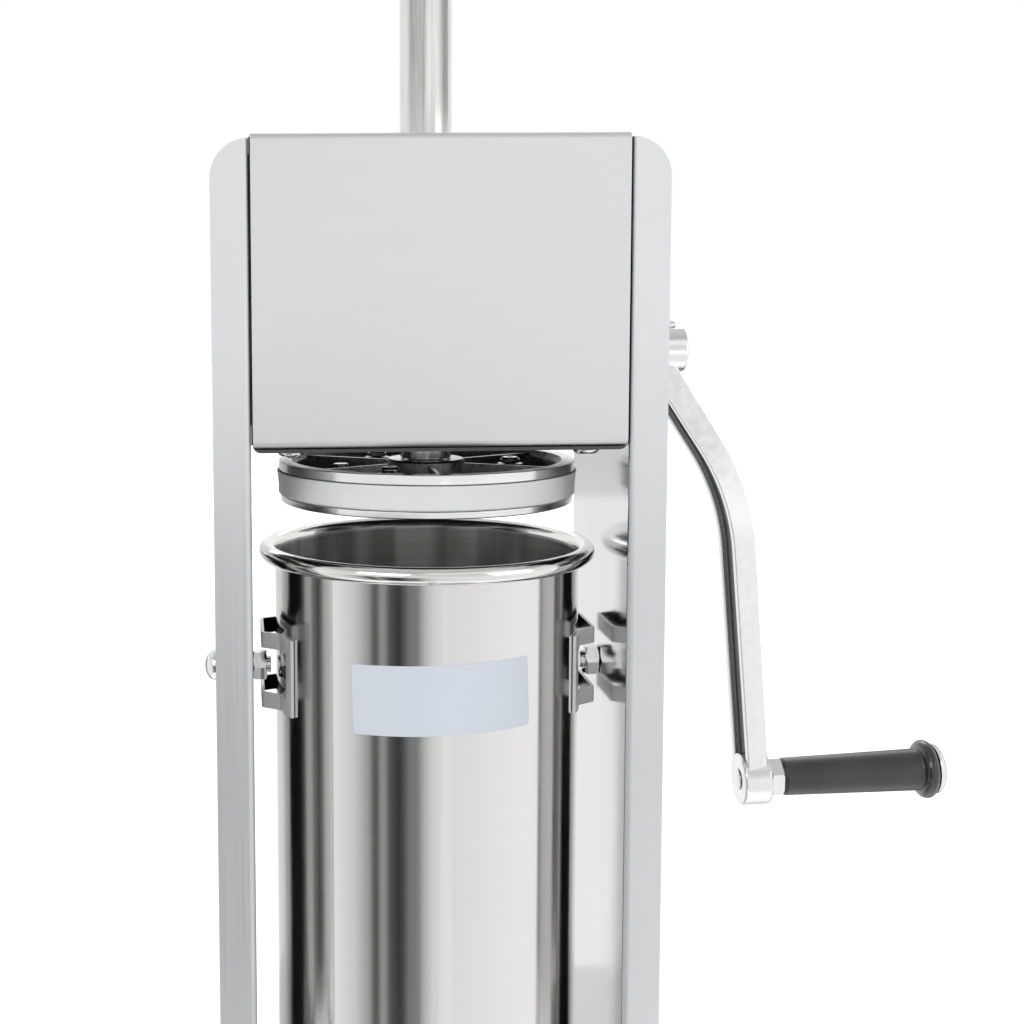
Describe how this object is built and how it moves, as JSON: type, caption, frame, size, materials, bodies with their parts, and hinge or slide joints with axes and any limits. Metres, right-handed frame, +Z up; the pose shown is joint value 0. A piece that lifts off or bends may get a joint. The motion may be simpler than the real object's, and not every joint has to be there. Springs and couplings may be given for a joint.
{
  "type": "sausage stuffer",
  "caption": "Upright hand-cranked stuffer: geared rack presses a sealed piston into a steel cylinder whose outlet takes a tapered tube.",
  "frame": {"origin": "centre of the overall footprint, at the height of the undersides of the feet", "axes": "+Z up along the rack and cylinder, +X towards the crank, -Y towards the outlet (the front)"},
  "size_m": [0.3806, 0.3796, 0.8903],
  "materials": {
    "brushed_steel": "brushed stainless steel sheet, satin",
    "polished_steel": "polished stainless steel",
    "cast_aluminium": "as cast, with machined edges",
    "bronze": "sintered bronze",
    "black_rubber": "matt moulded rubber",
    "white_silicone": "white food-grade silicone, slightly translucent",
    "black_plastic": "black moulded plastic"
  },
  "bodies": {
    "frame": {"base_tray": "brushed_steel", "foot_front_left": "black_rubber", "foot_front_right": "black_rubber", "foot_rear_left": "black_rubber", "foot_rear_right": "black_rubber", "base_bolt_left_front": "polished_steel", "base_bolt_left_rear": "polished_steel", "base_bolt_right_front": "polished_steel", "base_bolt_right_rear": "polished_steel", "left_pivot_bolt": "polished_steel", "left_pivot_sleeve": "polished_steel", "left_pivot_nut": "polished_steel", "right_pivot_bolt": "polished_steel", "right_pivot_sleeve": "polished_steel", "right_pivot_nut": "polished_steel", "floor_screw_1": "polished_steel", "floor_screw_2": "polished_steel", "floor_screw_3": "polished_steel", "floor_screw_4": "polished_steel", "left_column": "brushed_steel", "right_column": "brushed_steel", "left_column_angle": "brushed_steel", "right_column_angle": "brushed_steel", "gearbox_cover": "brushed_steel", "gearbox_floor": "brushed_steel", "lower_guide": "bronze", "upper_guide": "bronze", "slow_bush_left": "bronze", "slow_bush_right": "bronze", "fast_bush_left": "bronze", "fast_bush_right": "bronze"},
    "fast_shaft_set": {"fast_shaft": "polished_steel", "rack_pinion": "polished_steel", "drive_gear": "polished_steel"},
    "crank": {"slow_shaft": "polished_steel", "slow_pinion": "polished_steel", "crank_arm": "polished_steel", "crank_screw": "polished_steel", "grip_spindle": "polished_steel"},
    "grip_set": {"grip": "black_plastic", "grip_cap": "polished_steel"},
    "piston": {"rack": "polished_steel", "piston_upper_plate": "cast_aluminium", "piston_seal": "white_silicone", "piston_lower_plate": "cast_aluminium", "plate_screw_1": "polished_steel", "plate_screw_2": "polished_steel", "plate_screw_3": "polished_steel", "rack_nut": "polished_steel", "valve_body": "polished_steel"},
    "air_valve": {"valve_stem": "polished_steel"},
    "cylinder_set": {"cylinder": "polished_steel", "left_bracket": "polished_steel", "right_bracket": "polished_steel", "outlet_spout": "polished_steel"},
    "tube": {"stuffing_tube": "polished_steel"},
    "nut": {"ring_nut": "polished_steel"}
  },
  "joints": [
    {"name": "crank_spin", "type": "hinge", "parent": "frame", "child": "crank", "pos_m": [-0.07226, 0.08175, 0.4713], "axis": [1, 0, 0], "range_deg": [-4392, 63]},
    {"name": "fast_shaft_spin", "type": "hinge", "parent": "frame", "child": "fast_shaft_set", "pos_m": [-0.07226, 0.08175, 0.5153], "axis": [1, 0, 0], "range_deg": [-24, 1648]},
    {"name": "piston_slide", "type": "slide", "parent": "frame", "child": "piston", "axis": [0, 0, 1], "range_m": [-0.345, 0.005]},
    {"name": "grip_spin", "type": "hinge", "parent": "crank", "child": "grip_set", "pos_m": [0.08624, 0.08175, 0.2573], "axis": [0.9994, 0, 0.0349], "continuous": true},
    {"name": "cylinder_slide", "type": "slide", "parent": "frame", "child": "cylinder_set", "axis": [0, -1, 0], "range_m": [0, 0.2]},
    {"name": "tube_slide", "type": "slide", "parent": "cylinder_set", "child": "tube", "axis": [0, -1, 0], "range_m": [0, 0.05]},
    {"name": "ring_nut_spin", "type": "hinge", "parent": "tube", "child": "nut", "pos_m": [-0.07226, -0.03975, 0.0783], "axis": [0, -1, 0], "range_deg": [0, 720]},
    {"name": "valve_slide", "type": "slide", "parent": "piston", "child": "air_valve", "axis": [0, 0, 1], "range_m": [0, 0.003], "stiffness_N_per_m": 60, "springref_m": -0.002}
  ],
  "couplings": [
    {"joint": "fast_shaft_spin", "follows": "crank_spin", "ratio": -0.375},
    {"joint": "piston_slide", "follows": "crank_spin", "m_per_rad": 0.0045}
  ]
}
